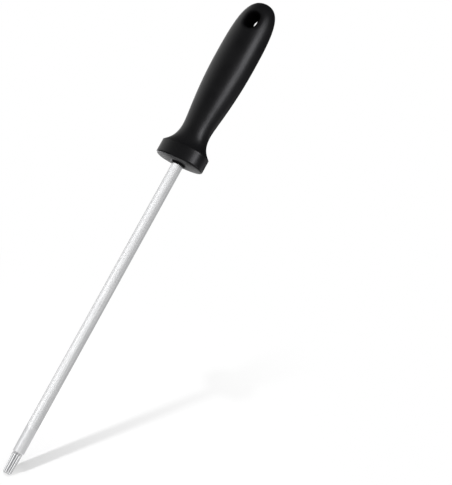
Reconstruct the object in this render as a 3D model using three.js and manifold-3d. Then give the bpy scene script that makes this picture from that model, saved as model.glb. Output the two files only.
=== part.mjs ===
// Butcher's sharpening steel in two pieces: a ribbed steel rod with a fluted tip and a hidden tang,
// and a one-piece moulded handle with an oval guard, a short collar and a hanging slot.
//
// Frame, in millimetres: the origin is the centre of the tip's end face, +Z runs up the rod to the
// butt of the handle, X is the handle's wide way and the hanging slot runs through along Y.

import * as THREE from 'three';
import { mergeVertices } from 'three/addons/utils/BufferGeometryUtils.js';
import Module from 'manifold-3d';

const wasm = await Module();
wasm.setup();

// ---- Driving dimensions ----

const EXPOSED_ROD_LENGTH = 254;
const ROD_DIAMETER = 8.5;

const RIB_COUNT = 60;
const RIB_DEPTH = 0.07;
const RIB_CREST_SHARE = 0.56;
const RIB_ROOT_SHARE = 0.1;
const PLAIN_BAND_LENGTH = 17;

const TIP_LENGTH = 16;
const TIP_DIAMETER_AT_END = 6.2;
const TIP_DIAMETER_AT_SHOULDER = 7.3;
const TIP_END_FACE_SHARE = 0.76;
const TIP_CHAMFER_LENGTH = 0.9;
const FLUTE_COUNT = 10;
const FLUTE_TURN = THREE.MathUtils.degToRad(16);
const FLUTE_DEPTH = 0.75;
const FLUTE_CREST_SHARE = 0.24;
const FLUTE_ROOT_SHARE = 0.12;
const SHOULDER_LENGTH = 1.8;
const SHOULDER_KNEE_INSET = 0.25;
const SHOULDER_KNEE_SHARE = 0.55;

const TANG_LENGTH = 78;
const TANG_END_CHAMFER = 1.5;
const NOTCH_DEPTH = 1.3;
const NOTCH_LENGTH = 9;
const NOTCHES = [
  { aboveGuard: 32, turn: 0 },
  { aboveGuard: 56, turn: Math.PI / 2 },
];
const SOCKET_CLEARANCE = 0.3;

const HANDLE_LENGTH = 134;
const GUARD_HALF_WIDTH = 18.75;
const GUARD_WALL_HEIGHT = 10.6;
const GUARD_RIM_RADIUS = 1.2;
const COLLAR_HEIGHT = 2.1;
const COLLAR_RADIUS_AT_END = 5.15;
const COLLAR_RADIUS_AT_GUARD = 6.6;
const NECK_HALF_WIDTH = 11.3;
const NECK_HEIGHT = 27.2;
const BELLY_HALF_WIDTH = 15.7;
const BELLY_HEIGHT = 86;

// The control arms of the handle's outline: how far each curve holds its direction at its ends.
const FLARE_START_INWARD = 4;
const FLARE_START_UPWARD = 3.7;
const NECK_ARM_BELOW = 9.4;
const NECK_ARM_ABOVE = 8.2;
const BELLY_ARM_BELOW = 31;
const BELLY_ARM_ABOVE = 28;
const BUTT_CORNER_INSET = 0.8;

// Thickness over width of the oval section, and the exponent of the superellipse it follows.
const SECTION_STATIONS = [
  { height: GUARD_WALL_HEIGHT, thickness: 0.685, exponent: 2.3 },
  { height: NECK_HEIGHT, thickness: 0.81, exponent: 2 },
  { height: BELLY_HEIGHT, thickness: 0.72, exponent: 2 },
];

const SLOT_HEIGHT = 117;
const SLOT_WIDTH = 7.9;
const SLOT_LENGTH = 11.9;
const SLOT_LIP_WIDTH = 3.95;
const SLOT_LIP_DEPTH = 2.2;

const ROUND_SEGMENTS = 60;
const HANDLE_SEGMENTS = 60;
const CURVE_STEPS = 14;
const SMALL_CURVE_STEPS = 3;
const SLOT_ARC_STEPS = 10;
const OVERLAP = 1;
const CORE_GAP = 0.02;
const LIP_OVERSHOOT = 0.25;
const MOUTH_OVERLAP = 0.05;
const SAME_POINT = 1e-6;

// ---- Derived places ----

const GUARD_FACE_Z = EXPOSED_ROD_LENGTH;
const SHOULDER_TOP_Z = TIP_LENGTH + SHOULDER_LENGTH;
const RIBS_START_Z = SHOULDER_TOP_Z + PLAIN_BAND_LENGTH;
const RIBS_END_Z = GUARD_FACE_Z + 2 * OVERLAP;
const COLLAR_END_Z = GUARD_FACE_Z - COLLAR_HEIGHT;
const TANG_END_Z = GUARD_FACE_Z + TANG_LENGTH;
const ROD_RADIUS = ROD_DIAMETER / 2;

// ---- From geometry to solids and back ----

function isRealTriangle(a, b, c) {
  return a !== b && b !== c && c !== a;
}

// A closed geometry as a manifold solid, with shared vertices merged and slivers at the poles dropped.
function solidFrom(geometry) {
  const bare = geometry.clone();
  bare.deleteAttribute('normal');
  bare.deleteAttribute('uv');
  const merged = mergeVertices(bare);
  const corners = merged.index.array;
  const kept = [];
  for (let i = 0; i < corners.length; i += 3) {
    const [a, b, c] = [corners[i], corners[i + 1], corners[i + 2]];
    if (isRealTriangle(a, b, c)) {
      kept.push(a, b, c);
    }
  }
  return new wasm.Manifold(new wasm.Mesh({
    numProp: 3,
    vertProperties: new Float32Array(merged.attributes.position.array),
    triVerts: new Uint32Array(kept),
  }));
}

function namedMesh(name, solid, material) {
  const result = solid.getMesh();
  const geometry = new THREE.BufferGeometry();
  geometry.setAttribute('position', new THREE.BufferAttribute(result.vertProperties, 3));
  geometry.setIndex(new THREE.BufferAttribute(result.triVerts, 1));
  geometry.computeVertexNormals();
  const mesh = new THREE.Mesh(geometry, material);
  mesh.name = name;
  return mesh;
}

// A solid of revolution about Z, from [radius, z] pairs that rise from one point on the axis to another.
function turned(outline) {
  const points = outline.map(([radius, z]) => new THREE.Vector2(radius, z));
  return new THREE.LatheGeometry(points, ROUND_SEGMENTS).rotateX(Math.PI / 2);
}

// ---- Rod ----

// A toothed outline: each tooth has a flat crest and a root, with straight flanks between them.
function toothedShape({ count, crestRadius, rootRadius, crestShare, rootShare }) {
  const pitch = 2 * Math.PI / count;
  const corners = [];
  for (let tooth = 0; tooth < count; tooth += 1) {
    const middle = tooth * pitch;
    const crestHalf = crestShare * pitch / 2;
    const rootHalf = rootShare * pitch / 2;
    const stops = [
      [crestRadius, middle - crestHalf],
      [crestRadius, middle + crestHalf],
      [rootRadius, middle + pitch / 2 - rootHalf],
      [rootRadius, middle + pitch / 2 + rootHalf],
    ];
    for (const [radius, angle] of stops) {
      corners.push(new THREE.Vector2(radius * Math.cos(angle), radius * Math.sin(angle)));
    }
  }
  return new THREE.Shape(corners);
}

function ribbedLength() {
  const outline = toothedShape({
    count: RIB_COUNT,
    crestRadius: ROD_RADIUS,
    rootRadius: ROD_RADIUS - RIB_DEPTH,
    crestShare: RIB_CREST_SHARE,
    rootShare: RIB_ROOT_SHARE,
  });
  const from = RIBS_START_Z - OVERLAP;
  const length = RIBS_END_Z - from;
  return new THREE.ExtrudeGeometry(outline, { depth: length, bevelEnabled: false })
    .translate(0, 0, from);
}

// The tip tapers to its end, where a chamfer leaves a smaller flat face.
function flutedTip() {
  const shoulderRadius = TIP_DIAMETER_AT_SHOULDER / 2;
  const endRadius = TIP_DIAMETER_AT_END / 2;
  const outline = toothedShape({
    count: FLUTE_COUNT,
    crestRadius: shoulderRadius,
    rootRadius: shoulderRadius - FLUTE_DEPTH,
    crestShare: FLUTE_CREST_SHARE,
    rootShare: FLUTE_ROOT_SHARE,
  });
  const layers = 2;
  const length = TIP_LENGTH + OVERLAP;
  const geometry = new THREE.ExtrudeGeometry(outline, {
    depth: length,
    steps: layers,
    bevelEnabled: false,
  }).rotateZ(FLUTE_TURN);
  const chamferLayerZ = length / layers;
  const position = geometry.attributes.position;
  for (let i = 0; i < position.count; i += 1) {
    const layerZ = position.getZ(i);
    const atEnd = layerZ < chamferLayerZ / 2;
    const atTop = layerZ > length - chamferLayerZ / 2;
    const z = atEnd ? 0 : atTop ? length : TIP_CHAMFER_LENGTH;
    const along = Math.min(z / TIP_LENGTH, 1);
    const radius = THREE.MathUtils.lerp(endRadius, shoulderRadius, along);
    const scale = (atEnd ? TIP_END_FACE_SHARE : 1) * radius / shoulderRadius;
    position.setXYZ(i, position.getX(i) * scale, position.getY(i) * scale, z);
  }
  return geometry;
}

// The plain round bar: shoulder, plain band, the core under the ribs and the tang.
function plainBar() {
  const coreRadius = ROD_RADIUS - RIB_DEPTH - CORE_GAP;
  const neckRadius = TIP_DIAMETER_AT_SHOULDER / 2;
  return turned([
    [0, TIP_LENGTH],
    [neckRadius, TIP_LENGTH],
    [ROD_RADIUS - SHOULDER_KNEE_INSET, TIP_LENGTH + SHOULDER_LENGTH * SHOULDER_KNEE_SHARE],
    [ROD_RADIUS, SHOULDER_TOP_Z],
    [ROD_RADIUS, RIBS_START_Z],
    [coreRadius, RIBS_START_Z],
    [coreRadius, RIBS_END_Z - OVERLAP],
    [ROD_RADIUS, RIBS_END_Z - OVERLAP],
    [ROD_RADIUS, TANG_END_Z - TANG_END_CHAMFER],
    [ROD_RADIUS - TANG_END_CHAMFER, TANG_END_Z],
    [0, TANG_END_Z],
  ]);
}

// Two flats on opposite sides of the tang at each station. The tool that cuts them shrinks by
// clearance on every side where it shapes the lugs of the socket instead.
function notchCutters(clearance) {
  const cutters = [];
  const block = 2 * ROD_DIAMETER;
  for (const { aboveGuard, turn } of NOTCHES) {
    for (const side of [-1, 1]) {
      const floor = ROD_RADIUS - NOTCH_DEPTH + clearance;
      const geometry = new THREE.BoxGeometry(block, block, NOTCH_LENGTH - 2 * clearance)
        .translate(side * (floor + block / 2), 0, 0)
        .rotateZ(turn)
        .translate(0, 0, GUARD_FACE_Z + aboveGuard);
      cutters.push(solidFrom(geometry));
    }
  }
  return cutters;
}

function rodSolid() {
  let rod = solidFrom(plainBar())
    .add(solidFrom(ribbedLength()))
    .add(solidFrom(flutedTip()));
  for (const cutter of notchCutters(0)) {
    rod = rod.subtract(cutter);
  }
  return rod;
}

// ---- Handle ----

function withoutRepeats(points) {
  return points.filter((point, i) => i === 0 || point.distanceTo(points[i - 1]) > SAME_POINT);
}

// Half width of the handle against height above the guard's face, from the face's centre to the butt.
function handleProfile() {
  const at = (halfWidth, height) => new THREE.Vector2(halfWidth, height);
  const rim = new THREE.QuadraticBezierCurve(
    at(GUARD_HALF_WIDTH - GUARD_RIM_RADIUS, 0),
    at(GUARD_HALF_WIDTH, 0),
    at(GUARD_HALF_WIDTH, GUARD_RIM_RADIUS),
  );
  const flare = new THREE.CubicBezierCurve(
    at(GUARD_HALF_WIDTH, GUARD_WALL_HEIGHT),
    at(GUARD_HALF_WIDTH - FLARE_START_INWARD, GUARD_WALL_HEIGHT + FLARE_START_UPWARD),
    at(NECK_HALF_WIDTH, NECK_HEIGHT - NECK_ARM_BELOW),
    at(NECK_HALF_WIDTH, NECK_HEIGHT),
  );
  const grip = new THREE.CubicBezierCurve(
    at(NECK_HALF_WIDTH, NECK_HEIGHT),
    at(NECK_HALF_WIDTH, NECK_HEIGHT + NECK_ARM_ABOVE),
    at(BELLY_HALF_WIDTH, BELLY_HEIGHT - BELLY_ARM_BELOW),
    at(BELLY_HALF_WIDTH, BELLY_HEIGHT),
  );
  const butt = new THREE.CubicBezierCurve(
    at(BELLY_HALF_WIDTH, BELLY_HEIGHT),
    at(BELLY_HALF_WIDTH, BELLY_HEIGHT + BELLY_ARM_ABOVE),
    at(BELLY_HALF_WIDTH - BUTT_CORNER_INSET, HANDLE_LENGTH),
    at(0, HANDLE_LENGTH),
  );
  return withoutRepeats([
    at(0, 0),
    ...rim.getPoints(SMALL_CURVE_STEPS),
    ...flare.getPoints(CURVE_STEPS),
    ...grip.getPoints(CURVE_STEPS),
    ...butt.getPoints(CURVE_STEPS),
  ]);
}

// Thickness ratio and exponent of the section at a height, eased from one station to the next.
function sectionAt(height) {
  const first = SECTION_STATIONS[0];
  let { thickness, exponent } = first;
  let below = first;
  for (const above of SECTION_STATIONS.slice(1)) {
    const ease = THREE.MathUtils.smoothstep(height, below.height, above.height);
    thickness = THREE.MathUtils.lerp(thickness, above.thickness, ease);
    exponent = THREE.MathUtils.lerp(exponent, above.exponent, ease);
    below = above;
  }
  return { thickness, exponent };
}

// A round turned form squeezed into its oval sections.
function handleBody() {
  const geometry = new THREE.LatheGeometry(handleProfile(), HANDLE_SEGMENTS).rotateX(Math.PI / 2);
  const position = geometry.attributes.position;
  for (let i = 0; i < position.count; i += 1) {
    const x = position.getX(i);
    const y = position.getY(i);
    const radius = Math.hypot(x, y);
    if (radius > 0) {
      const { thickness, exponent } = sectionAt(position.getZ(i));
      const across = Math.abs(x / radius) ** exponent;
      const through = Math.abs(y / radius / thickness) ** exponent;
      const scale = (across + through) ** (-1 / exponent);
      position.setXY(i, x * scale, y * scale);
    }
  }
  return geometry.translate(0, 0, GUARD_FACE_Z);
}

// Half width at a height, read off the profile between its points.
function halfWidthAt(height, profile) {
  const next = profile.findIndex((point) => point.y > height);
  const [low, high] = [profile[next - 1], profile[next]];
  return THREE.MathUtils.mapLinear(height, low.y, high.y, low.x, high.x);
}

// Distance from the middle plane Y = 0 to the handle's surface.
function surfaceDistance(x, height, profile) {
  const { thickness, exponent } = sectionAt(height);
  const halfWidth = halfWidthAt(height, profile);
  const share = Math.abs(x / halfWidth) ** exponent;
  return thickness * halfWidth * (1 - share) ** (1 / exponent);
}

// The slot's outline, grown by a margin: two half circles joined by straight sides.
function slotOutline(margin) {
  const straight = (SLOT_LENGTH - SLOT_WIDTH) / 2;
  const radius = SLOT_WIDTH / 2 + margin;
  const outline = new THREE.Shape();
  outline.absarc(0, straight, radius, 0, Math.PI, false);
  outline.absarc(0, -straight, radius, Math.PI, 2 * Math.PI, false);
  return outline;
}

// Turns an extrusion so that it runs along Y, gives each vertex a new y, and lifts it to the slot.
function slotTool(outline, extrusion, yAt) {
  const settings = { depth: 1, curveSegments: SLOT_ARC_STEPS, ...extrusion };
  const geometry = new THREE.ExtrudeGeometry(outline, settings)
    .translate(0, 0, -0.5)
    .rotateX(Math.PI / 2);
  const profile = handleProfile();
  const position = geometry.attributes.position;
  for (let i = 0; i < position.count; i += 1) {
    const surface = surfaceDistance(position.getX(i), SLOT_HEIGHT + position.getZ(i), profile);
    position.setY(i, yAt(position.getY(i), surface));
  }
  return solidFrom(geometry.translate(0, 0, GUARD_FACE_Z + SLOT_HEIGHT));
}

// The hanging slot runs through along Y. Each mouth opens in a chamfered lip that follows the
// curved surface. The lip's slope runs on a little way outside it, where a straight tool on each
// side clears what stands over the mouth.
function hangingSlot() {
  const widening = SLOT_LIP_WIDTH * (1 + LIP_OVERSHOOT);
  const lips = slotTool(
    slotOutline(0),
    { bevelThickness: 1, bevelSize: -widening, bevelOffset: widening, bevelSegments: 1 },
    (y, surface) => {
      const isOuter = Math.abs(y) > 1;
      return Math.sign(y) * (surface + SLOT_LIP_DEPTH * (isOuter ? LIP_OVERSHOOT : -1));
    },
  );
  const mouths = [-1, 1].map((side) => slotTool(
    slotOutline(widening),
    { bevelEnabled: false },
    (y, surface) => {
      const lipTop = surface + SLOT_LIP_DEPTH * LIP_OVERSHOOT;
      return side * (Math.sign(y) === side ? GUARD_HALF_WIDTH : lipTop - MOUTH_OVERLAP);
    },
  ));
  return lips.add(mouths[0]).add(mouths[1]);
}

// A short tapered collar round the rod, in front of the guard's face.
function collarSolid() {
  return solidFrom(turned([
    [0, COLLAR_END_Z],
    [COLLAR_RADIUS_AT_END, COLLAR_END_Z],
    [COLLAR_RADIUS_AT_GUARD, GUARD_FACE_Z],
    [COLLAR_RADIUS_AT_GUARD, GUARD_FACE_Z + OVERLAP],
    [0, GUARD_FACE_Z + OVERLAP],
  ]));
}

// The hole that the tang fills, with lugs left standing in the tang's notches.
function socketSolid() {
  const radius = ROD_RADIUS + SOCKET_CLEARANCE;
  const mouth = COLLAR_END_Z - OVERLAP;
  const end = TANG_END_Z + SOCKET_CLEARANCE;
  let socket = solidFrom(turned([
    [0, mouth],
    [radius, mouth],
    [radius, end - TANG_END_CHAMFER],
    [radius - TANG_END_CHAMFER, end],
    [0, end],
  ]));
  for (const cutter of notchCutters(SOCKET_CLEARANCE)) {
    socket = socket.subtract(cutter);
  }
  return socket;
}

function handleSolid() {
  return solidFrom(handleBody())
    .add(collarSolid())
    .subtract(socketSolid())
    .subtract(hangingSlot());
}

// ---- Assembly ----

const nickelPlatedSteel = new THREE.MeshStandardMaterial({
  color: 0xd9dadb,
  roughness: 0.28,
  metalness: 1,
});

const blackPlastic = new THREE.MeshStandardMaterial({
  color: 0x17171a,
  roughness: 0.42,
  metalness: 0,
});

const steel = new THREE.Group();
steel.add(namedMesh('ribbed_rod', rodSolid(), nickelPlatedSteel));
steel.add(namedMesh('guarded_handle', handleSolid(), blackPlastic));

export default steel;
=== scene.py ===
"""A butcher's sharpening steel: the finished surfaces, materials, light and camera.

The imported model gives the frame: Z runs up the rod from the tip's end face to the butt of the handle,
X is the handle's wide way, and the hanging slot runs through along Y. All lengths are in metres.
"""

import functools
import math
import random

import bpy
import numpy as np
from mathutils import Matrix, Vector


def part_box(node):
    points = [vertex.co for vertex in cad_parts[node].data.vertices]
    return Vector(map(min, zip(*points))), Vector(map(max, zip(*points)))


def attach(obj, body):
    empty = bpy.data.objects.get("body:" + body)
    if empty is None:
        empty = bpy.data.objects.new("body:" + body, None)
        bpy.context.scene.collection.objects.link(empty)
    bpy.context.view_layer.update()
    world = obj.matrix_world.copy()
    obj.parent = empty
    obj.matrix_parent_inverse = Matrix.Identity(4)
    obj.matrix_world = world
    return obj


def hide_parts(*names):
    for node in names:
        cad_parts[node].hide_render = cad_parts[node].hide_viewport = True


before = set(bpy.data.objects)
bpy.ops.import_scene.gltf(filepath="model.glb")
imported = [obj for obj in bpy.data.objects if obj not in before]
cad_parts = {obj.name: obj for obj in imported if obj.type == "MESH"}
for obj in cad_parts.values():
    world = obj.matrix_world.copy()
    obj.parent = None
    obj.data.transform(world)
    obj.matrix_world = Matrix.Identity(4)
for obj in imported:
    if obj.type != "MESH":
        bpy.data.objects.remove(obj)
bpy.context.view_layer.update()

MM = 0.001

# ---- Places and sizes, read from the frame ----

HANDLE_LOW, HANDLE_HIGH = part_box("guarded_handle")
ROD_LOW, ROD_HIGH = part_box("ribbed_rod")

COLLAR_HEIGHT = 2.1 * MM
GUARD_Z = HANDLE_LOW.z + COLLAR_HEIGHT
HANDLE_LENGTH = HANDLE_HIGH.z - GUARD_Z
GUARD_HALF_WIDTH = HANDLE_HIGH.x
GUARD_HALF_THICKNESS = HANDLE_HIGH.y
ROD_RADIUS = ROD_HIGH.x
TANG_END_Z = ROD_HIGH.z

# ---- Handle dimensions ----

GUARD_WALL_HEIGHT = 10.6 * MM
GUARD_RIM_RADIUS = 1.2 * MM
GUARD_CORNER_CUT = 0.35 * MM
RIM_START_ANGLE = math.radians(8)
FACE_CROWN = 0.9 * MM
FACE_EASE = 1.5
COLLAR_RADIUS_AT_END = 5.15 * MM
COLLAR_RADIUS_AT_GUARD = 6.6 * MM
COLLAR_END_ROUNDING = 0.35 * MM
COLLAR_FOOT_ARM = 0.5 * MM
NECK_HEIGHT = 27.2 * MM
NECK_HALF_WIDTH = 11.3 * MM
BELLY_HEIGHT = 86 * MM
BELLY_HALF_WIDTH = 15.7 * MM
NECK_THICKNESS_RATIO = 0.81
BELLY_THICKNESS_RATIO = 0.72
GUARD_EXPONENT = 2.3
SOCKET_GAP = 0.05 * MM

# The control arms of the handle's outline: how far each curve holds its direction at its ends.
FLARE_START_INWARD = 4 * MM
FLARE_START_UPWARD = 3.7 * MM
NECK_ARM_BELOW = 9.4 * MM
NECK_ARM_ABOVE = 8.2 * MM
BELLY_ARM_BELOW = 31 * MM
BELLY_ARM_ABOVE = 28 * MM
BUTT_CORNER_INSET = 0.8 * MM

SLOT_HEIGHT = 117 * MM
SLOT_RADIUS = 3.95 * MM
SLOT_STRAIGHT = 2.0 * MM
SLOT_LIP_WIDTH = 3.95 * MM
SLOT_LIP_DEPTH = 2.2 * MM

SEAM_RIDGE = 0.04 * MM
SEAM_HALF_ANGLE = math.radians(0.9)
SEAM_ANGLES = [math.radians(a) for a in (-0.9, -0.45, 0.45, 0.9)]

# ---- Rod dimensions ----

TIP_LENGTH = 16 * MM
TIP_END_RADIUS = 3.1 * MM
TIP_TOP_RADIUS = 3.65 * MM
FLUTE_COUNT = 10
FLUTE_TURN = math.radians(16)
FLUTE_DEPTH = 0.75 * MM
FLUTE_FLANK = (0.16, 0.92)
TIP_CHAMFER_LENGTH = 0.9 * MM
TIP_ROUNDED_LENGTH = 2 * MM
SHOULDER_STEP = 0.1 * MM
PLAIN_BAND_STEP = 1 * MM
SHOULDER_LENGTH = 1.8 * MM
PLAIN_BAND_LENGTH = 17 * MM
RIBS_START_Z = TIP_LENGTH + SHOULDER_LENGTH + PLAIN_BAND_LENGTH
RIB_COUNT = 60
RIB_DEPTH = 0.07 * MM
RIB_DEPTH_SPREAD = (0.8, 1.15)
RIB_RUN_OUT = 2.5 * MM
RIBS_FULL_Z = RIBS_START_Z + 8 * MM
RIBS_END_Z = GUARD_Z + 1 * MM
TANG_START_Z = GUARD_Z + 3 * MM
NOTCH_DEPTH = 1.3 * MM
NOTCH_LENGTH = 9 * MM
NOTCH_RAMP = 0.3 * MM
NOTCHES = [(32 * MM, 0.0), (56 * MM, math.pi / 2)]
TANG_CHAMFER = 1.5 * MM

# Places across one rib, as shares of its pitch: along the crest, then across the groove. The depths
# go with them, as shares of the groove's full depth.
CREST_PLACES = [0.0, 0.12, 0.24, 0.36, 0.48]
GROOVE_PLACES = [0.61, 0.74, 0.87]
RIB_PATTERN = [0, 0, 0, 0, 0, 0.6, 1.0, 0.6]

# The tip's chamfer, rounded: height, and the share of the full radius there.
TIP_ROUNDING = [(0.0, 0.70), (0.10 * MM, 0.78), (0.28 * MM, 0.87), (0.55 * MM, 0.95),
                (0.90 * MM, 0.99), (1.3 * MM, 1.0)]

# ---- How finely the surfaces are divided ----

TIP_LEVELS = 8
SHOULDER_TURNS = [math.radians(a) for a in (80, 65, 50, 35, 20, 8, 0)]
PLAIN_BAND_LEVELS = 6
RIB_LEVELS = 28
COLUMNS = 160
RIM_LEVELS = 8
WALL_LEVELS = 8
CORNER_STEPS = 6
FLARE_STEPS = 26
GRIP_STEPS = 44
BUTT_CURVE_STEPS = 400
BUTT_LEVELS_BELOW_WINDOW = 14
BUTT_LEVELS_ABOVE_WINDOW = 18
BUTT_POLE_GAP = 0.12
SMALLEST_BUTT_RADIUS = 0.25 * MM
COLLAR_STEPS = 9
FACE_SHARES = (0.08, 0.18, 0.3, 0.42, 0.54, 0.66, 0.77, 0.87, 0.95)

# The window that the skin leaves open for the slot.
WINDOW_HALF_COLUMNS = 18
WINDOW_LOW = SLOT_HEIGHT - 12.2 * MM
WINDOW_HIGH = SLOT_HEIGHT + 11.2 * MM
WINDOW_ROWS = 22
LIP_STEPS = 7
SPREAD_STEPS = 7
SPREAD_EASE = 0.85
SLOT_WALL_SHARES = (0.25, 0.5, 0.75)

# ---- Materials ----

# The mesh attribute for painted shade: how far each place is darkened as if shaded, from 0 to 1.
SHADE = "shade"
COLLAR_SHADE = 0.75
COLLAR_SHADE_REACH = 13.5 * MM
RIB_SHADE = 0.25

# Where the painted shade sets in and where it is full, as shares of the depth of the groove, flute or lip.
FLUTE_SHADE_DEPTHS = (0.35, 0.95)
RIB_SHADE_DEPTHS = (0.1, 1.0)
SLOT_SHADE_DEPTHS = (0.0, 0.4)

PLASTIC_DARK = (0.0045, 0.0045, 0.0052, 1)
PLASTIC_PALE = (0.0070, 0.0070, 0.0078, 1)
# Painted shade colour for inside the slot and round the rod.
PLASTIC_PAINTED_SHADE = (0.0015, 0.0015, 0.0016, 1)
PLASTIC_GLOSS = 0.5
PLASTIC_ROUGHNESS = (0.33, 0.40)
RUBBED_ROUGHNESS = (-0.02, 0.04)
PLASTIC_GRAIN_STRENGTH = 0.16
PLASTIC_GRAIN_HEIGHT = 0.04 * MM

STEEL_DULL = (0.80, 0.805, 0.815, 1)
STEEL_BRIGHT = (0.88, 0.88, 0.885, 1)
STEEL_STREAK = (0.74, 0.745, 0.755, 1)
# Painted shade colour for the roots of the flutes and ribs.
STEEL_PAINTED_SHADE = (0.33, 0.33, 0.34, 1)
STEEL_ROUGHNESS = (0.13, 0.24)
GROOVE_ROUGHNESS = 0.16
PLAIN_BAND_SATIN = 0.38
STEEL_LINE_STRENGTH = 0.25
STEEL_LINE_HEIGHT = 0.02 * MM

GROUND_DULL = (0.94, 0.94, 0.94, 1)
GROUND_PALE = (0.96, 0.96, 0.96, 1)
WHITE = (1, 1, 1, 1)

# ---- Camera, in degrees and metres. Azimuth 0 looks at the -Y side, and 90 at the +X side ----

CAMERA_AZIMUTH = 24.0
CAMERA_ELEVATION = -12.4
CAMERA_DISTANCE = 2.0
CAMERA_LENS_MM = 207.3
TOOL_LEAN = math.radians(29.03)
AIM_RIGHT_OF_GUARD = 33.8 * MM
AIM_BELOW_GUARD = 57.1 * MM

# ---- Light ----

# Panels: name, turn from the camera's azimuth and half width in degrees, radiance, lowest and highest Z.
ROD_PANELS = [
    ("rod_left", -47, 27, 1.55, -0.3, 1.3),
    ("rod_front", 14, 29, 0.73, -0.3, 1.3),
    ("rod_right", 72, 28, 0.53, -0.3, 1.3),
    ("rod_far_right", 126, 26, 0.45, -0.3, 1.3),
    ("rod_behind", 180, 30, 0.50, -0.3, 1.3),
]
HANDLE_COOL_PANELS = [
    ("handle_streak", 17, 11, 5.2, 0.32, 0.8),
    ("handle_high_streak", 24, 11, 5.2, 0.8, 1.15),
    ("handle_low_streak", 61, 8, 3.0, -0.6, -0.05),
    ("handle_back_streak", -165, 7, 3.0, -0.5, 0.2),
]
HANDLE_WHITE_PANELS = [
    ("handle_side", -125, 35, 0.22, -0.1, 1.3),
    ("handle_ground", 180, 30, 0.66, -0.2, 0.18),
]
GUARD_PANEL = ("guard_side", 115, 25, 0.45, 0.2, 0.34)
PANEL_DISTANCE = 1.3
GUARD_PANEL_DISTANCE = 0.35
COOL = (0.96, 0.96, 1.0)

# A level panel below the rod.
ROD_GROUND_RADIANCE = 0.6
GROUND_PANEL_WIDTH = 4.0
GROUND_PANEL_Z = -0.3

# The key, and the slant of the ground in the picture. The key's two ways along that ground are for each
# metre that it drops on to it.
KEY_ANGLE = math.radians(3.5)
KEY_STRENGTH = 1.25
KEY_TO_RIGHT = 0.230
KEY_TOWARDS_VIEWER = 0.503
GROUND_RISE = math.radians(35)
GROUND_HALF_SIZE = 3.0

# How much of the shadow shows. Lengths are from the tip.
SHADOW_REACH = 0.26
SHADOW_FALL_OFF = 1.6
SHADOW_BOOST = 1.03
SHADOW_STRONGEST = 0.85
SHADOW_START = 0.014
SHADOW_AT_TIP = 0.35

# The room: what matt surfaces feel, and what mirrors show. An edge is a pair of cosines, where a glow
# begins and where it is full. Heights are the Z of a ray of length 1.
FILL = 0.76
SIDE_TURN = -125
SIDE_ELEVATION = 5
SIDE_EDGE = (0.35, 0.95)
SIDE_GLOW = 0.69
DARK_SIDE = 0.04
CEILING_HEIGHTS = (0.25, 0.75)
CEILING_SHARE = 0.2
FLOOR_EDGE = (-0.3, 0.8)
FLOOR_GLOW_BEHIND = 0.45
FLOOR_GLOW_IN_FRONT = 0.05
STEEP_FLOOR_HEIGHTS = (-0.5, -0.15)
STEEP_FLOOR_SHARE = 0.3
HORIZON_HEIGHTS = (-0.08, 0.0)

# A ray counts as the picture's own when it starts this near to the picture's camera.
CAMERA_MATCH = 0.02


# ---- Mesh helpers ----

def smoothstep(low, high, value):
    t = np.clip((value - low) / (high - low), 0, 1)
    return t * t * (3 - 2 * t)


def bezier(points, count):
    """count + 1 points along a cubic Bezier curve."""
    t = np.linspace(0, 1, count + 1)[:, None]
    a, b, c, d = (np.array(p, float) for p in points)
    return (1 - t) ** 3 * a + 3 * (1 - t) ** 2 * t * b + 3 * (1 - t) * t * t * c + t ** 3 * d


class MeshBuilder:
    """Collects vertices and faces, and makes the Blender object."""

    def __init__(self):
        self.vertices = []
        self.faces = []

    def ring(self, points):
        start = len(self.vertices)
        self.vertices.extend(tuple(p) for p in points)
        return list(range(start, len(self.vertices)))

    def bridge(self, lower, upper, closed=True, skip=()):
        """Quads between two rings. skip holds the positions of quads to leave out."""
        count = len(lower)
        for i in range(count if closed else count - 1):
            if i not in skip:
                j = (i + 1) % count
                self.faces.append((lower[i], lower[j], upper[j], upper[i]))

    def cap(self, ring, centre, flip=False):
        middle = len(self.vertices)
        self.vertices.append(tuple(centre))
        for i, corner in enumerate(ring):
            following = ring[(i + 1) % len(ring)]
            self.faces.append((corner, middle, following) if flip else (corner, following, middle))

    def finish(self, name, material, shade):
        """shade gives each vertex 0 to 1, for how much painted shade its material shows there."""
        mesh = bpy.data.meshes.new(name)
        mesh.from_pydata(self.vertices, [], self.faces)
        values = [float(shade(*place)) for place in self.vertices]
        mesh.attributes.new(SHADE, "FLOAT", "POINT").data.foreach_set("value", values)
        mesh.validate()
        mesh.update()
        mesh.shade_smooth()
        mesh.materials.append(material)
        piece = bpy.data.objects.new(name, mesh)
        bpy.context.scene.collection.objects.link(piece)
        return piece


# ---- Material helpers ----

def new_material(name):
    material = bpy.data.materials.new(name)
    material.use_nodes = True
    material.node_tree.nodes.clear()
    return material, material.node_tree


def add_node(tree, kind, settings=None, **inputs):
    """A shader node with its settings and inputs. An input is a value or another node's output."""
    node = tree.nodes.new(kind)
    for key, value in (settings or {}).items():
        setattr(node, key, value)
    for key, value in inputs.items():
        socket = node.inputs[int(key[1:])] if key[1:].isdigit() else node.inputs[key.replace("_", " ")]
        if isinstance(value, bpy.types.NodeSocket):
            tree.links.new(value, socket)
        else:
            socket.default_value = value
    return node


def object_coordinates(tree, stretch=(1, 1, 1)):
    """Coordinates on the piece in metres, scaled by stretch."""
    coordinates = add_node(tree, "ShaderNodeTexCoord").outputs["Object"]
    return add_node(tree, "ShaderNodeMapping", Vector=coordinates, Scale=stretch).outputs["Vector"]


def noise(tree, vector, scale, detail=4.0, roughness=0.55):
    return add_node(tree, "ShaderNodeTexNoise", Vector=vector, Scale=scale, Detail=detail,
                    Roughness=roughness).outputs["Fac"]


def remap(tree, value, low, high, to_low, to_high):
    return add_node(tree, "ShaderNodeMapRange", Value=value, From_Min=low, From_Max=high,
                    To_Min=to_low, To_Max=to_high).outputs["Result"]


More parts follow.
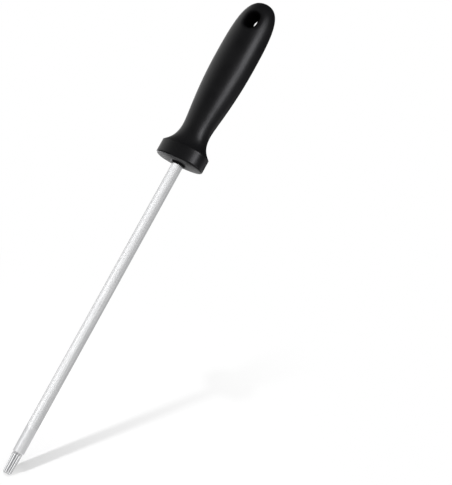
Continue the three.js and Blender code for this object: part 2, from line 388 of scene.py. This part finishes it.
def calculate(tree, operation, a, b):
    return add_node(tree, "ShaderNodeMath", {"operation": operation}, _0=a, _1=b).outputs[0]


def calculate_vector(tree, operation, output, a, b):
    return add_node(tree, "ShaderNodeVectorMath", {"operation": operation}, _0=a, _1=b).outputs[output]


def mix_colours(tree, factor, a, b):
    node = add_node(tree, "ShaderNodeMix", {"data_type": "RGBA"})
    for socket, value in ((node.inputs[0], factor), (node.inputs[6], a), (node.inputs[7], b)):
        if isinstance(value, bpy.types.NodeSocket):
            tree.links.new(value, socket)
        else:
            socket.default_value = value
    return node.outputs[2]


def output_surface(tree, shader):
    add_node(tree, "ShaderNodeOutputMaterial", Surface=shader)


def shade_of(tree):
    """The piece's own 0 to 1 of painted shade at a place."""
    return add_node(tree, "ShaderNodeAttribute", {"attribute_name": SHADE}).outputs["Fac"]


def black_plastic():
    """Satin moulded plastic: near black, with a fine moulded grain and faint handling marks. Inside the
    slot and round the rod it carries painted shade: darker colour and less gloss."""
    material, tree = new_material("black_plastic")
    shade = shade_of(tree)
    plain = object_coordinates(tree)
    cloudy = noise(tree, plain, 55.0)
    grain = noise(tree, plain, 3200.0, detail=2.0)
    rubbed = noise(tree, object_coordinates(tree, (1, 1, 0.12)), 900.0, detail=3.0)
    open_colour = mix_colours(tree, remap(tree, cloudy, 0.35, 0.65, 0, 1), PLASTIC_DARK, PLASTIC_PALE)
    # Painted shade: where the shade attribute is high, the colour darkens and the gloss goes.
    colour = mix_colours(tree, shade, open_colour, PLASTIC_PAINTED_SHADE)
    gloss = remap(tree, shade, 0, 1, PLASTIC_GLOSS, 0)
    cloudy_roughness = remap(tree, cloudy, 0.3, 0.7, *PLASTIC_ROUGHNESS)
    rubbed_roughness = remap(tree, rubbed, 0.35, 0.75, *RUBBED_ROUGHNESS)
    roughness = calculate(tree, "ADD", cloudy_roughness, rubbed_roughness)
    bump = add_node(tree, "ShaderNodeBump", Strength=PLASTIC_GRAIN_STRENGTH,
                    Distance=PLASTIC_GRAIN_HEIGHT, Height=grain)
    shader = add_node(tree, "ShaderNodeBsdfPrincipled", Base_Color=colour, Roughness=roughness,
                      Specular_IOR_Level=gloss, Normal=bump.outputs["Normal"])
    output_surface(tree, shader.outputs[0])
    return material


def plated_steel():
    """Bright plate over steel, with fine lines along the rod. The plain band is more satin, and the grooves
    are duller, with painted shade darkening them."""
    material, tree = new_material("plated_steel")
    shade = shade_of(tree)
    lines = noise(tree, object_coordinates(tree, (1, 1, 0.02)), 4200.0, detail=3.0)
    streaks = noise(tree, object_coordinates(tree, (1, 1, 0.03)), 1300.0, detail=2.0)
    bands = noise(tree, object_coordinates(tree, (1, 1, 0.15)), 260.0)
    banded = mix_colours(tree, remap(tree, bands, 0.3, 0.7, 0, 1), STEEL_DULL, STEEL_BRIGHT)
    streaked = mix_colours(tree, remap(tree, streaks, 0.42, 0.68, 0, 1), banded, STEEL_STREAK)
    # Painted shade: the colour darkens in the grooves as the shade attribute rises.
    colour = mix_colours(tree, shade, streaked, STEEL_PAINTED_SHADE)
    fine_roughness = remap(tree, lines, 0.3, 0.7, *STEEL_ROUGHNESS)
    dulled = remap(tree, shade, 0, 1, 0, GROOVE_ROUGHNESS)
    grooves_roughness = calculate(tree, "ADD", fine_roughness, dulled)
    place = add_node(tree, "ShaderNodeTexCoord").outputs["Object"]
    height = add_node(tree, "ShaderNodeSeparateXYZ", Vector=place).outputs["Z"]
    below_ribs = remap(tree, height, RIBS_START_Z, RIBS_START_Z + RIB_RUN_OUT, PLAIN_BAND_SATIN, 0)
    above_tip = remap(tree, height, TIP_LENGTH, TIP_LENGTH + SHOULDER_LENGTH, 0, 1)
    roughness = calculate(tree, "ADD", grooves_roughness,
                          calculate(tree, "MULTIPLY", below_ribs, above_tip))
    bump = add_node(tree, "ShaderNodeBump", Strength=STEEL_LINE_STRENGTH,
                    Distance=STEEL_LINE_HEIGHT, Height=lines)
    shader = add_node(tree, "ShaderNodeBsdfPrincipled", Base_Color=colour, Metallic=1.0,
                      Roughness=roughness, Normal=bump.outputs["Normal"])
    output_surface(tree, shader.outputs[0])
    return material


# ---- Tang, shared by the rod's end and the handle's socket ----

def tang_radius(angle, turn=None):
    """The tang's radius at an angle: round, or with two opposed flats turned by turn."""
    if turn is None:
        return ROD_RADIUS
    facing = np.abs(np.cos(angle - turn))
    return np.minimum(ROD_RADIUS, (ROD_RADIUS - NOTCH_DEPTH) / np.maximum(facing, 0.01))


def tang_stations():
    """(z, turn or None) up the tang, from its first notch to where the end chamfer starts."""
    stations = []
    for height, turn in NOTCHES:
        bottom = GUARD_Z + height - NOTCH_LENGTH / 2
        top = GUARD_Z + height + NOTCH_LENGTH / 2
        stations += [(bottom, None), (bottom + NOTCH_RAMP, turn), (top - NOTCH_RAMP, turn), (top, None)]
    return stations + [(TANG_END_Z - TANG_CHAMFER, None)]


# ---- Rod ----

def rib_angles():
    """Angles of the rod's mesh columns."""
    pitch = 2 * math.pi / RIB_COUNT
    places = CREST_PLACES + GROOVE_PLACES
    return np.array([pitch * (rib + share) for rib in range(RIB_COUNT) for share in places])


def rib_depths():
    """How deep each mesh column lies below the crests. Each groove is cut a little differently."""
    pattern = np.array(RIB_PATTERN)
    chance = random.Random(11)
    return np.concatenate([pattern * RIB_DEPTH * chance.uniform(*RIB_DEPTH_SPREAD)
                           for _ in range(RIB_COUNT)])


def flute_shape(angle):
    """0 on the crests of the tip's flutes and 1 in their roots."""
    phase = ((angle - FLUTE_TURN) * FLUTE_COUNT / (2 * math.pi)) % 1
    from_crest = np.minimum(phase, 1 - phase) * 2
    return smoothstep(*FLUTE_FLANK, from_crest)


def rod_rings():
    """(z, radii) up the rod, from the tip's end face to the end of the tang."""
    angle = rib_angles()
    flutes = flute_shape(angle)
    smooth = np.ones_like(angle)
    rings = []

    def tip_ring(z, chamfer):
        radius = TIP_END_RADIUS + (TIP_TOP_RADIUS - TIP_END_RADIUS) * z / TIP_LENGTH
        rings.append((z, chamfer * (radius - FLUTE_DEPTH * flutes * radius / TIP_TOP_RADIUS)))

    for z, chamfer in TIP_ROUNDING:
        tip_ring(z, chamfer)
    for z in np.linspace(TIP_ROUNDED_LENGTH, TIP_LENGTH, TIP_LEVELS):
        tip_ring(z, 1.0)

    shoulder_start = TIP_LENGTH + SHOULDER_STEP
    shoulder_end = TIP_LENGTH + SHOULDER_LENGTH
    for turn in SHOULDER_TURNS:
        radius = TIP_TOP_RADIUS + (ROD_RADIUS - TIP_TOP_RADIUS) * math.cos(turn)
        z = shoulder_start + (shoulder_end - shoulder_start) * (1 - math.sin(turn))
        rings.append((z, radius * smooth))
    for z in np.linspace(shoulder_end + PLAIN_BAND_STEP, RIBS_START_Z, PLAIN_BAND_LEVELS):
        rings.append((z, ROD_RADIUS * smooth))

    depths = rib_depths()
    for step in (0.25, 0.5, 0.75, 1.0):
        fade = smoothstep(0, 1, step)
        rings.append((RIBS_START_Z + RIB_RUN_OUT * step, ROD_RADIUS - depths * fade))
    for z in np.linspace(RIBS_FULL_Z, RIBS_END_Z, RIB_LEVELS):
        rings.append((z, ROD_RADIUS - depths))
    rings.append((TANG_START_Z, ROD_RADIUS * smooth))

    for z, turn in tang_stations():
        rings.append((z, tang_radius(angle, turn) * smooth))
    rings.append((TANG_END_Z, (ROD_RADIUS - TANG_CHAMFER) * smooth))
    return angle, rings


def rod_shade(x, y, z):
    """Painted shade: 1 in the roots of the tip's flutes, and RIB_SHADE in the grooves between the ribs."""
    radius = math.hypot(x, y)
    if TIP_CHAMFER_LENGTH < z < TIP_LENGTH:
        crest = TIP_END_RADIUS + (TIP_TOP_RADIUS - TIP_END_RADIUS) * z / TIP_LENGTH
        return smoothstep(*FLUTE_SHADE_DEPTHS, (crest - radius) / (FLUTE_DEPTH * crest / TIP_TOP_RADIUS))
    if RIBS_START_Z < z < GUARD_Z:
        return RIB_SHADE * smoothstep(*RIB_SHADE_DEPTHS, (ROD_RADIUS - radius) / RIB_DEPTH)
    return 0.0


def make_rod(material):
    builder = MeshBuilder()
    angle, rings = rod_rings()
    across, through = np.cos(angle), np.sin(angle)
    previous = None
    for z, radii in rings:
        current = builder.ring(np.column_stack([radii * across, radii * through, np.full_like(radii, z)]))
        if previous is None:
            builder.cap(current, (0, 0, z), flip=True)
        else:
            builder.bridge(previous, current)
        previous = current
    builder.cap(previous, (0, 0, TANG_END_Z))
    return builder.finish("rod_with_fluted_tip", material, rod_shade)


# ---- Handle ----

def thickness_ratio(height):
    guard = GUARD_HALF_THICKNESS / GUARD_HALF_WIDTH
    to_neck = smoothstep(GUARD_WALL_HEIGHT, NECK_HEIGHT, height)
    to_belly = smoothstep(NECK_HEIGHT, BELLY_HEIGHT, height)
    ratio = guard + (NECK_THICKNESS_RATIO - guard) * to_neck
    return ratio + (BELLY_THICKNESS_RATIO - ratio) * to_belly


def section_exponent(height):
    return GUARD_EXPONENT + (2 - GUARD_EXPONENT) * smoothstep(GUARD_WALL_HEIGHT, NECK_HEIGHT, height)


@functools.lru_cache
def butt_curve():
    """(half width, height) from the belly to the pole of the butt."""
    return bezier([(BELLY_HALF_WIDTH, BELLY_HEIGHT), (BELLY_HALF_WIDTH, BELLY_HEIGHT + BELLY_ARM_ABOVE),
                   (BELLY_HALF_WIDTH - BUTT_CORNER_INSET, HANDLE_LENGTH), (0, HANDLE_LENGTH)],
                  BUTT_CURVE_STEPS)


def handle_profile():
    """(half width, height above the guard's face) from the rim of the guard's face to the belly."""
    wide = GUARD_HALF_WIDTH - SEAM_RIDGE
    rim = [(wide - GUARD_RIM_RADIUS * (1 - math.sin(t)), GUARD_RIM_RADIUS * (1 - math.cos(t)))
           for t in np.linspace(RIM_START_ANGLE, math.pi / 2, RIM_LEVELS)]
    wall_top = GUARD_WALL_HEIGHT - GUARD_CORNER_CUT
    wall = [(wide, h) for h in np.linspace(GUARD_RIM_RADIUS, wall_top, WALL_LEVELS)[1:]]
    flare_slope = np.array([-FLARE_START_INWARD, FLARE_START_UPWARD])
    edge = np.array([wide, GUARD_WALL_HEIGHT])
    flare_start = edge + flare_slope * GUARD_CORNER_CUT / np.linalg.norm(flare_slope)
    corner = bezier([wall[-1], edge, edge, flare_start], CORNER_STEPS)
    flare = bezier([flare_start, edge + flare_slope,
                    (NECK_HALF_WIDTH, NECK_HEIGHT - NECK_ARM_BELOW), (NECK_HALF_WIDTH, NECK_HEIGHT)],
                   FLARE_STEPS)
    grip = bezier([(NECK_HALF_WIDTH, NECK_HEIGHT), (NECK_HALF_WIDTH, NECK_HEIGHT + NECK_ARM_ABOVE),
                   (BELLY_HALF_WIDTH, BELLY_HEIGHT - BELLY_ARM_BELOW), (BELLY_HALF_WIDTH, BELLY_HEIGHT)],
                  GRIP_STEPS)
    return rim + wall + [tuple(p) for p in [*corner[1:-1], *flare, *grip[1:]]]


def half_width_at(height):
    """Half width of the butt's curve at a height."""
    curve = butt_curve()
    return np.interp(height, curve[:, 1], curve[:, 0])


def column_angles():
    """Angles round the handle, with extra columns for the moulding seam on both edges."""
    even = [2 * math.pi * i / COLUMNS for i in range(COLUMNS)]
    seams = [edge + offset for edge in (0, math.pi) for offset in SEAM_ANGLES]
    return np.array(sorted((a % (2 * math.pi)) for a in even + seams))


def section_point(angle, half_width, half_thickness, exponent):
    """A point on a superellipse."""
    c, s = np.cos(angle), np.sin(angle)
    x = half_width * np.sign(c) * np.abs(c) ** (2 / exponent)
    y = half_thickness * np.sign(s) * np.abs(s) ** (2 / exponent)
    return x, y


def handle_ring(half_width, height, angle):
    """One level ring of the handle's skin, with the seam's ridge."""
    if height <= GUARD_RIM_RADIUS:
        inset = GUARD_HALF_WIDTH - SEAM_RIDGE - half_width
        half_thickness = GUARD_HALF_THICKNESS - inset
    else:
        half_thickness = half_width * thickness_ratio(height)
    x, y = section_point(angle, half_width, half_thickness, section_exponent(height))
    to_edge = np.minimum(np.abs(np.sin(angle)), 1)
    ridge = SEAM_RIDGE * smoothstep(math.sin(SEAM_HALF_ANGLE), 0, to_edge)
    x = x + np.sign(x) * ridge
    return np.column_stack([x, y, np.full_like(x, GUARD_Z + height)])


def surface_y(x, height):
    """Half thickness of the butt's skin above the middle plane."""
    half_width = half_width_at(height)
    share = np.clip(1 - (x / half_width) ** 2, 0, 1)
    return half_width * thickness_ratio(height) * np.sqrt(share)


def slot_spine(x, height):
    """Direction from the slot's middle line to a point, and the nearest point of that line."""
    nearest = np.clip(height - SLOT_HEIGHT, -SLOT_STRAIGHT, SLOT_STRAIGHT)
    dx, dz = x, height - SLOT_HEIGHT - nearest
    length = math.hypot(dx, dz)
    return dx / length, dz / length, SLOT_HEIGHT + nearest


def fill_window(builder, boundary, side):
    """Rings from the window's edge in to the slot's lip and round it. Returns the innermost ring."""
    corners = [builder.vertices[i] for i in boundary]
    outer = [(x, z - GUARD_Z) for x, _, z in corners]
    spines = [slot_spine(x, h) for x, h in outer]
    reach = SLOT_RADIUS + SLOT_LIP_WIDTH
    lip = [(ux * reach, foot + uz * reach) for ux, uz, foot in spines]
    previous = boundary
    for step in range(1, SPREAD_STEPS + 1):
        t = (step / SPREAD_STEPS) ** SPREAD_EASE
        points = []
        for (x0, h0), (x1, h1) in zip(outer, lip):
            x, h = x0 + (x1 - x0) * t, h0 + (h1 - h0) * t
            points.append((x, side * surface_y(x, h), GUARD_Z + h))
        current = builder.ring(points)
        builder.bridge(previous, current)
        previous = current
    for turn in np.linspace(0, math.pi / 2, LIP_STEPS + 1)[1:]:
        offset = SLOT_RADIUS + SLOT_LIP_WIDTH * (1 - math.sin(turn))
        sink = SLOT_LIP_DEPTH * (1 - math.cos(turn))
        points = []
        for ux, uz, foot in spines:
            x, h = ux * offset, foot + uz * offset
            points.append((x, side * (surface_y(x, h) - sink), GUARD_Z + h))
        current = builder.ring(points)
        builder.bridge(previous, current)
        previous = current
    return previous


def window_boundary(rows, columns, low, high):
    """Vertices round a window in the grid, going one way round."""
    bottom = [rows[low][c] for c in columns]
    right = [rows[r][columns[-1]] for r in range(low + 1, high)]
    top = [rows[high][c] for c in reversed(columns)]
    left = [rows[r][columns[0]] for r in range(high - 1, low, -1)]
    return bottom + right + top + left


def butt_levels():
    """(half width, height) from the belly to just short of the pole, with the window's own levels."""
    curve = butt_curve()
    below = np.linspace(BELLY_HEIGHT, WINDOW_LOW, BUTT_LEVELS_BELOW_WINDOW + 2)[1:-1]
    window = np.linspace(WINDOW_LOW, WINDOW_HIGH, WINDOW_ROWS)
    levels = [(float(half_width_at(h)), float(h)) for h in [*below, *window]]
    start = np.searchsorted(curve[:, 1], WINDOW_HIGH)
    tip = curve[start:-1]
    turns = np.linspace(BUTT_POLE_GAP, 1, BUTT_LEVELS_ABOVE_WINDOW) * math.pi / 2
    shares = (1 - np.cos(turns)) * (len(tip) - 1)
    picks = sorted({int(round(len(tip) - 1 - s)) for s in shares})
    levels += [(float(tip[i][0]), float(tip[i][1])) for i in picks if tip[i][0] > SMALLEST_BUTT_RADIUS]
    return levels


def level_circle(angle, radius, z):
    """Points round the tool's axis. radius is one number, or one for each angle."""
    return np.column_stack([radius * np.cos(angle), radius * np.sin(angle), np.full_like(angle, z)])


def face_height(radius):
    """Height of the crowned face: FACE_CROWN proud at its middle, and level with the guard at its edge."""
    share = radius / (GUARD_HALF_WIDTH - GUARD_RIM_RADIUS)
    return -FACE_CROWN * (1 - share ** 2)


def collar_rings(angle):
    """The short collar round the rod, from its rounded end to where it blends into the guard's face."""
    foot = face_height(COLLAR_RADIUS_AT_GUARD)
    side = bezier([(COLLAR_RADIUS_AT_END - COLLAR_END_ROUNDING, -COLLAR_HEIGHT),
                   (COLLAR_RADIUS_AT_END, -COLLAR_HEIGHT),
                   (COLLAR_RADIUS_AT_END + COLLAR_FOOT_ARM, foot),
                   (COLLAR_RADIUS_AT_GUARD, foot)], COLLAR_STEPS)
    return [level_circle(angle, radius, GUARD_Z + height) for radius, height in side]


def face_rings(angle, rim_start):
    """The guard's face, from the collar's foot to the start of the rim. The rim's own ring is left out."""
    inner = level_circle(angle, COLLAR_RADIUS_AT_GUARD, 0)
    outer = handle_ring(*rim_start, angle)
    start = face_height(COLLAR_RADIUS_AT_GUARD)
    rings = []
    for share in FACE_SHARES:
        face = inner + (outer - inner) * share
        face[:, 2] = GUARD_Z + start + (rim_start[1] - start) * share ** FACE_EASE
        rings.append(face)
    return rings


def handle_shade(x, y, z):
    """Painted shade: 1 inside the slot, and COLLAR_SHADE on the collar, fading out over the guard's face.
    """
    height = z - GUARD_Z
    if height < 0:
        return COLLAR_SHADE * smoothstep(COLLAR_SHADE_REACH, COLLAR_RADIUS_AT_END, math.hypot(x, y))
    if abs(height - SLOT_HEIGHT) < SLOT_STRAIGHT + SLOT_RADIUS + SLOT_LIP_WIDTH:
        return smoothstep(*SLOT_SHADE_DEPTHS, (surface_y(x, height) - abs(y)) / SLOT_LIP_DEPTH)
    return 0.0


def make_handle(material):
    builder = MeshBuilder()
    angle = column_angles()

    # The socket, from its closed end down to the collar's end.
    end_z = TANG_END_Z + SOCKET_GAP
    previous = builder.ring(level_circle(angle, ROD_RADIUS - TANG_CHAMFER + SOCKET_GAP, end_z))
    builder.cap(previous, (0, 0, end_z), flip=True)
    stations = [(GUARD_Z - COLLAR_HEIGHT, None), (TANG_START_Z, None)] + tang_stations()
    for z, turn in reversed(stations):
        current = builder.ring(level_circle(angle, tang_radius(angle, turn) + SOCKET_GAP, z))
        builder.bridge(previous, current)
        previous = current

    # The collar, and the guard's slightly crowned face out to the rim.
    profile = handle_profile()
    for points in collar_rings(angle) + face_rings(angle, profile[0]):
        current = builder.ring(points)
        builder.bridge(previous, current)
        previous = current

    # The skin, up to the butt, with a window left open on each side for the slot.
    rows = []
    for half_width, height in profile + butt_levels():
        rows.append(builder.ring(handle_ring(half_width, height, angle)))
    low = len(profile) + BUTT_LEVELS_BELOW_WINDOW
    high = low + WINDOW_ROWS - 1
    windows = {}
    for side in (-1, 1):
        centre = int(np.argmin(np.abs(np.sin(angle) - side)))
        windows[side] = list(range(centre - WINDOW_HALF_COLUMNS, centre + WINDOW_HALF_COLUMNS + 1))
    skipped = {c for columns in windows.values() for c in columns[:-1]}
    for index, current in enumerate(rows):
        below = previous if index == 0 else rows[index - 1]
        builder.bridge(below, current, skip=skipped if low < index <= high else ())
    builder.cap(rows[-1], (0, 0, GUARD_Z + HANDLE_LENGTH))

    # The slot's lips, and its wall from one side to the other.
    rings = {}
    for side, columns in windows.items():
        boundary = window_boundary(rows, columns, low, high)
        rings[side] = fill_window(builder, boundary, side)
    front, back = rings[-1], rings[1]
    place = [Vector(builder.vertices[i]) for i in back]
    matched = []
    for i in front:
        x, _, z = builder.vertices[i]
        nearest = min(range(len(back)), key=lambda k: (place[k].x - x) ** 2 + (place[k].z - z) ** 2)
        matched.append(back[nearest])
    previous = front
    for share in SLOT_WALL_SHARES:
        points = []
        for a, b in zip(front, matched):
            points.append(Vector(builder.vertices[a]).lerp(Vector(builder.vertices[b]), share))
        current = builder.ring(points)
        builder.bridge(previous, current)
        previous = current
    builder.bridge(previous, matched)
    return builder.finish("handle_with_oval_guard", material, handle_shade)


# ---- Directions round the tool ----

def direction(azimuth, elevation):
    """From the tool towards a viewer. Azimuth 0 is on the -Y side and 90 on the +X side."""
    a, e = math.radians(azimuth), math.radians(elevation)
    return Vector((math.sin(a) * math.cos(e), -math.cos(a) * math.cos(e), math.sin(e)))


def camera_axes():
    """The camera's right, up and backward directions. The tool leans to the right in the picture."""
    back = direction(CAMERA_AZIMUTH, CAMERA_ELEVATION)
    level = direction(CAMERA_AZIMUTH + 90, 0)
    along = back.cross(level)
    right = math.cos(TOOL_LEAN) * level + math.sin(TOOL_LEAN) * along
    up = math.cos(TOOL_LEAN) * along - math.sin(TOOL_LEAN) * level
    return right, up, back


def make_camera():
    right, up, back = camera_axes()
    guard = Vector((0, 0, GUARD_Z))
    data = bpy.data.cameras.new("camera")
    data.lens = CAMERA_LENS_MM
    camera = bpy.data.objects.new("camera", data)
    bpy.context.scene.collection.objects.link(camera)
    camera.location = guard + CAMERA_DISTANCE * back
    aim = guard + AIM_RIGHT_OF_GUARD * right - AIM_BELOW_GUARD * up
    forward = (aim - camera.location).normalized()
    side = forward.cross(up).normalized()
    axes = Matrix((side, side.cross(forward), -forward)).transposed()
    camera.rotation_mode = "QUATERNION"
    camera.rotation_quaternion = axes.to_quaternion()
    bpy.context.scene.camera = camera
    return camera


# ---- Light ----

def collection_of(name, pieces):
    collection = bpy.data.collections.new(name)
    for piece in pieces:
        collection.objects.link(piece)
    return collection


def add_light(name, data, receivers):
    """Places a light that only the receivers feel, and that no camera sees."""
    light = bpy.data.objects.new(name, data)
    bpy.context.scene.collection.objects.link(light)
    light.rotation_mode = "QUATERNION"
    light.visible_camera = False
    light.light_linking.receiver_collection = receivers
    return light


def add_panel(name, width, height, radiance, receivers, colour=(1, 1, 1)):
    data = bpy.data.lights.new(name, "AREA")
    data.shape = "RECTANGLE"
    data.size = width
    data.size_y = height
    data.energy = radiance * width * height * math.pi
    data.color = colour
    return add_light(name, data, receivers)


def upright_panel(name, turn, half_angle, radiance, low, high, receivers, colour=(1, 1, 1),
                  distance=PANEL_DISTANCE):
    """A panel beside the tool, from low to high in Z. Its turn and half angle are in degrees. The turn is
    from the camera's azimuth, and grows to the camera's right."""
    width = 2 * distance * math.tan(math.radians(half_angle))
    panel = add_panel(name, width, high - low, radiance, receivers, colour)
    outward = direction(CAMERA_AZIMUTH + turn, 0)
    panel.location = outward * distance + Vector((0, 0, (low + high) / 2))
    panel.rotation_quaternion = (-outward).to_track_quat("-Z", "Y")


def ground_panel(name, radiance, receivers):
    """A wide level panel under the tool, shining up."""
    panel = add_panel(name, GROUND_PANEL_WIDTH, GROUND_PANEL_WIDTH, radiance, receivers)
    panel.location = (0, 0, GROUND_PANEL_Z)
    panel.rotation_quaternion = Vector((0, 0, 1)).to_track_quat("-Z", "Y")


def light_rod(rod):
    """Panels that only the rod mirrors: bright on the left, paler in front, greyer on the right."""
    receivers = collection_of("lit_rod", [rod])
    for panel in ROD_PANELS:
        upright_panel(*panel, receivers)
    ground_panel("rod_ground", ROD_GROUND_RADIANCE, receivers)


def light_handle(handle):
    """Panels that only the handle mirrors: narrow ones for its streaks, and dim wide ones for its sides
    and the guard's face."""
    receivers = collection_of("lit_handle", [handle])
    for panel in HANDLE_COOL_PANELS:
        upright_panel(*panel, receivers, COOL)
    for panel in HANDLE_WHITE_PANELS:
        upright_panel(*panel, receivers)
    upright_panel(*GUARD_PANEL, receivers, distance=GUARD_PANEL_DISTANCE)


def ground_axes():
    """Right, upward normal and away from the viewer, for the ground that the leaning tool stands on."""
    right, up, back = camera_axes()
    normal = math.cos(GROUND_RISE) * up + math.sin(GROUND_RISE) * back
    return right, normal, normal.cross(right)


def light_ground(floors):
    """The sun-like key. On the picture's ground it throws the tool's shadow to the right and away."""
    right, normal, away = ground_axes()
    travel = (KEY_TO_RIGHT * right - KEY_TOWARDS_VIEWER * away - normal).normalized()
    data = bpy.data.lights.new("key", "SUN")
    data.energy = KEY_STRENGTH
    data.angle = KEY_ANGLE
    key = add_light("key", data, collection_of("lit_ground", floors))
    key.rotation_quaternion = travel.to_track_quat("-Z", "Y")


def make_world():
    """White to the camera and even fill for matt surfaces. Mirrored, the room is pale behind the tool's
    left side and dark elsewhere, above a floor that is pale behind the tool and dark in front."""
    world = bpy.data.worlds.new("studio")
    bpy.context.scene.world = world
    world.use_nodes = True
    tree = world.node_tree
    tree.nodes.clear()
    ray = add_node(tree, "ShaderNodeTexCoord").outputs["Generated"]

    def glow_towards(side, edge, dark, bright):
        """dark to bright as the ray turns towards side."""
        towards = calculate_vector(tree, "DOT_PRODUCT", "Value", ray, tuple(side))
        return add_node(tree, "ShaderNodeMapRange", {"interpolation_type": "SMOOTHSTEP"}, Value=towards,
                        From_Min=edge[0], From_Max=edge[1], To_Min=dark, To_Max=bright).outputs["Result"]

    height = add_node(tree, "ShaderNodeSeparateXYZ", Vector=ray).outputs["Z"]
    side = direction(CAMERA_AZIMUTH + SIDE_TURN, SIDE_ELEVATION)
    side_glow = glow_towards(side, SIDE_EDGE, DARK_SIDE, SIDE_GLOW)
    room = calculate(tree, "MULTIPLY", side_glow,
                     remap(tree, height, *CEILING_HEIGHTS, 1, CEILING_SHARE))
    behind = direction(CAMERA_AZIMUTH + 180, 0)
    floor_glow = glow_towards(behind, FLOOR_EDGE, FLOOR_GLOW_IN_FRONT, FLOOR_GLOW_BEHIND)
    floor = calculate(tree, "MULTIPLY", floor_glow,
                      remap(tree, height, *STEEP_FLOOR_HEIGHTS, STEEP_FLOOR_SHARE, 1))
    above = remap(tree, height, *HORIZON_HEIGHTS, 0, 1)
    mirrored = add_node(tree, "ShaderNodeMix", {"data_type": "FLOAT"}, _0=above, _2=floor, _3=room)
    path = add_node(tree, "ShaderNodeLightPath")
    fill = add_node(tree, "ShaderNodeMix", {"data_type": "FLOAT"}, _0=path.outputs["Is Glossy Ray"],
                    _2=FILL, _3=mirrored.outputs[0])
    shown = add_node(tree, "ShaderNodeMix", {"data_type": "FLOAT"}, _0=path.outputs["Is Camera Ray"],
                     _2=fill.outputs[0], _3=1.0)
    background = add_node(tree, "ShaderNodeBackground", Color=WHITE, Strength=shown.outputs[0])
    add_node(tree, "ShaderNodeOutputWorld", Surface=background.outputs[0])


# ---- Floors ----

def floor_object(name, first, second, material):
    """A square sheet through the tip's end, spanned by two axes. It is seen, but lights nothing and
    throws no shadow."""
    corners = [first * a + second * b for a, b in ((-1, -1), (1, -1), (1, 1), (-1, 1))]
    mesh = bpy.data.meshes.new(name)
    mesh.from_pydata([tuple(c * GROUND_HALF_SIZE) for c in corners], [], [(0, 1, 2, 3)])
    mesh.materials.append(material)
    sheet = bpy.data.objects.new(name, mesh)
    bpy.context.scene.collection.objects.link(sheet)
    for flag in ("visible_diffuse", "visible_glossy", "visible_transmission", "visible_shadow"):
        setattr(sheet, flag, False)
    return sheet


def seen_from(tree, place):
    """1 where the ray comes from a camera at place, and 0 for any other camera."""
    geometry = add_node(tree, "ShaderNodeNewGeometry")
    distance = add_node(tree, "ShaderNodeCameraData").outputs["View Distance"]
    back = add_node(tree, "ShaderNodeVectorMath", {"operation": "SCALE"},
                    _0=geometry.outputs["Incoming"], Scale=distance).outputs[0]
    eye = calculate_vector(tree, "ADD", "Vector", geometry.outputs["Position"], back)
    error = calculate_vector(tree, "DISTANCE", "Value", eye, tuple(place))
    return calculate(tree, "LESS_THAN", error, CAMERA_MATCH)


def shadow_strength(tree):
    """How much of the shadow shows: SHADOW_STRONGEST near the tip, SHADOW_AT_TIP of that right at it, and
    0 where the ground is SHADOW_REACH away and glows white instead."""
    place = add_node(tree, "ShaderNodeTexCoord").outputs["Object"]
    distance = add_node(tree, "ShaderNodeVectorMath", {"operation": "LENGTH"}, _0=place).outputs["Value"]
    nearness = remap(tree, distance, 0, SHADOW_REACH, 1, 0)
    eased = calculate(tree, "POWER", nearness, SHADOW_FALL_OFF)
    boosted = calculate(tree, "MULTIPLY", eased, SHADOW_BOOST)
    capped = calculate(tree, "MINIMUM", boosted, SHADOW_STRONGEST)
    start = remap(tree, distance, 0, SHADOW_START, SHADOW_AT_TIP, 1)
    return calculate(tree, "MULTIPLY", capped, start)


def floor_material(name, camera, for_picture):
    """Pale matt ground that shows only its upper side, and only to the picture's camera or to others."""
    material, tree = new_material(name)
    in_picture = seen_from(tree, camera.location)
    wanted = in_picture if for_picture else calculate(tree, "SUBTRACT", 1.0, in_picture)
    underside = add_node(tree, "ShaderNodeNewGeometry").outputs["Backfacing"]
    upper_side = calculate(tree, "SUBTRACT", 1.0, underside)
    shown = calculate(tree, "MULTIPLY", wanted, upper_side)
    grain = noise(tree, object_coordinates(tree), 3.0, detail=2.0)
    colour = mix_colours(tree, grain, GROUND_DULL, GROUND_PALE)
    matt = add_node(tree, "ShaderNodeBsdfDiffuse", Color=colour).outputs[0]
    white = add_node(tree, "ShaderNodeEmission", Color=WHITE).outputs[0]
    ground = add_node(tree, "ShaderNodeMixShader", _0=shadow_strength(tree), _1=white, _2=matt).outputs[0]
    clear = add_node(tree, "ShaderNodeBsdfTransparent").outputs[0]
    shader = add_node(tree, "ShaderNodeMixShader", _0=shown, _1=clear, _2=ground)
    output_surface(tree, shader.outputs[0])
    return material


def make_floors(camera):
    right, _, away = ground_axes()
    east, north = Vector((1, 0, 0)), Vector((0, 1, 0))
    return [
        floor_object("picture_ground", right, away, floor_material("picture_ground", camera, True)),
        floor_object("level_ground", east, north, floor_material("level_ground", camera, False)),
    ]


# ---- The scene ----

rod = make_rod(plated_steel())
handle = make_handle(black_plastic())
for piece, node, slot in ((rod, "ribbed_rod", "plated_steel"), (handle, "guarded_handle", "black_plastic")):
    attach(piece, "root")
    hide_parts(node)

camera = make_camera()
make_world()
light_rod(rod)
light_handle(handle)
light_ground(make_floors(camera))
bpy.context.scene.view_settings.view_transform = "Standard"
